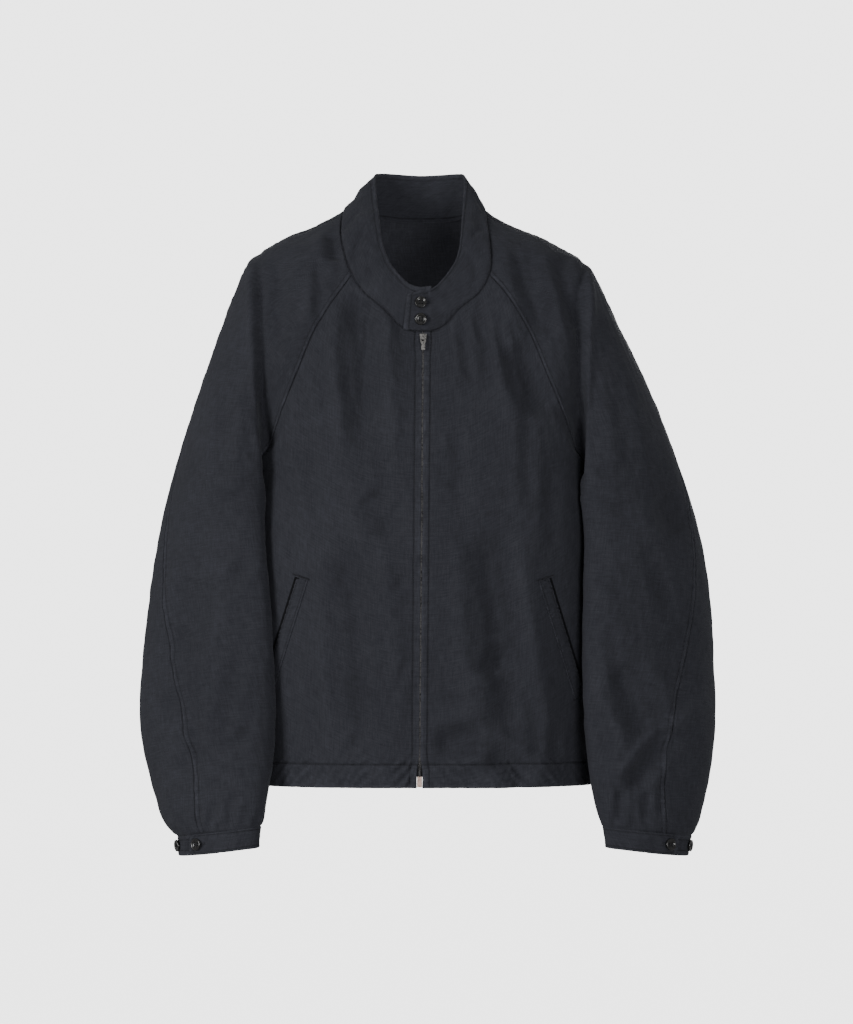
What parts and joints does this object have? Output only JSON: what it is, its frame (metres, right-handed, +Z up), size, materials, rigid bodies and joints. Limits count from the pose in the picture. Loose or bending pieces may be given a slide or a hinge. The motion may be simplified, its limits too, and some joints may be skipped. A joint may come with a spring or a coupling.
{
  "type": "harrington jacket",
  "caption": "Short hollow jacket in dark cotton twill with raglan sleeves, buttoned stand collar, front zip, slanted welt pockets and buttoned cuffs.",
  "frame": {"origin": "centre of the neck, level with the neck seam at its sides and back, where the wearer's neck fills the collar and holds the jacket up", "axes": "+Z up, -Y towards the front (zip) side, +X towards the wearer's left"},
  "size_m": [0.6756, 0.2805, 0.802],
  "materials": {
    "twill": "matt cotton twill, softly worn at the seams",
    "zip_tape": "matt woven tape with its teeth",
    "zip_metal": "satin nickel plate, rubbed",
    "zip_box": "satin plate with a copper cast",
    "button": "polished dark brown, nearly black"
  },
  "bodies": {
    "jacket": {"front_right": "twill", "front_left": "twill", "back": "twill", "sleeve_front_right": "twill", "sleeve_back_right": "twill", "sleeve_front_left": "twill", "sleeve_back_left": "twill", "collar": "twill", "cuff_right": "twill", "cuff_left": "twill", "welt_right": "twill", "welt_left": "twill", "zip_right": "zip_tape", "zip_left": "zip_tape", "zip_slider": "zip_metal", "zip_retainer": "zip_box", "button_collar_1": "button", "button_collar_2": "button", "button_cuff_right_1": "button", "button_cuff_right_2": "button", "button_cuff_left_1": "button", "button_cuff_left_2": "button"},
    "pull_tab": {"pull_tab": "zip_metal"}
  },
  "joints": [
    {"name": "pull_tab_hinge", "type": "hinge", "parent": "jacket", "child": "pull_tab", "pos_m": [0.00142, -0.09036, -0.14941], "axis": [-1, 0, 0], "range_deg": [0, 120]}
  ]
}
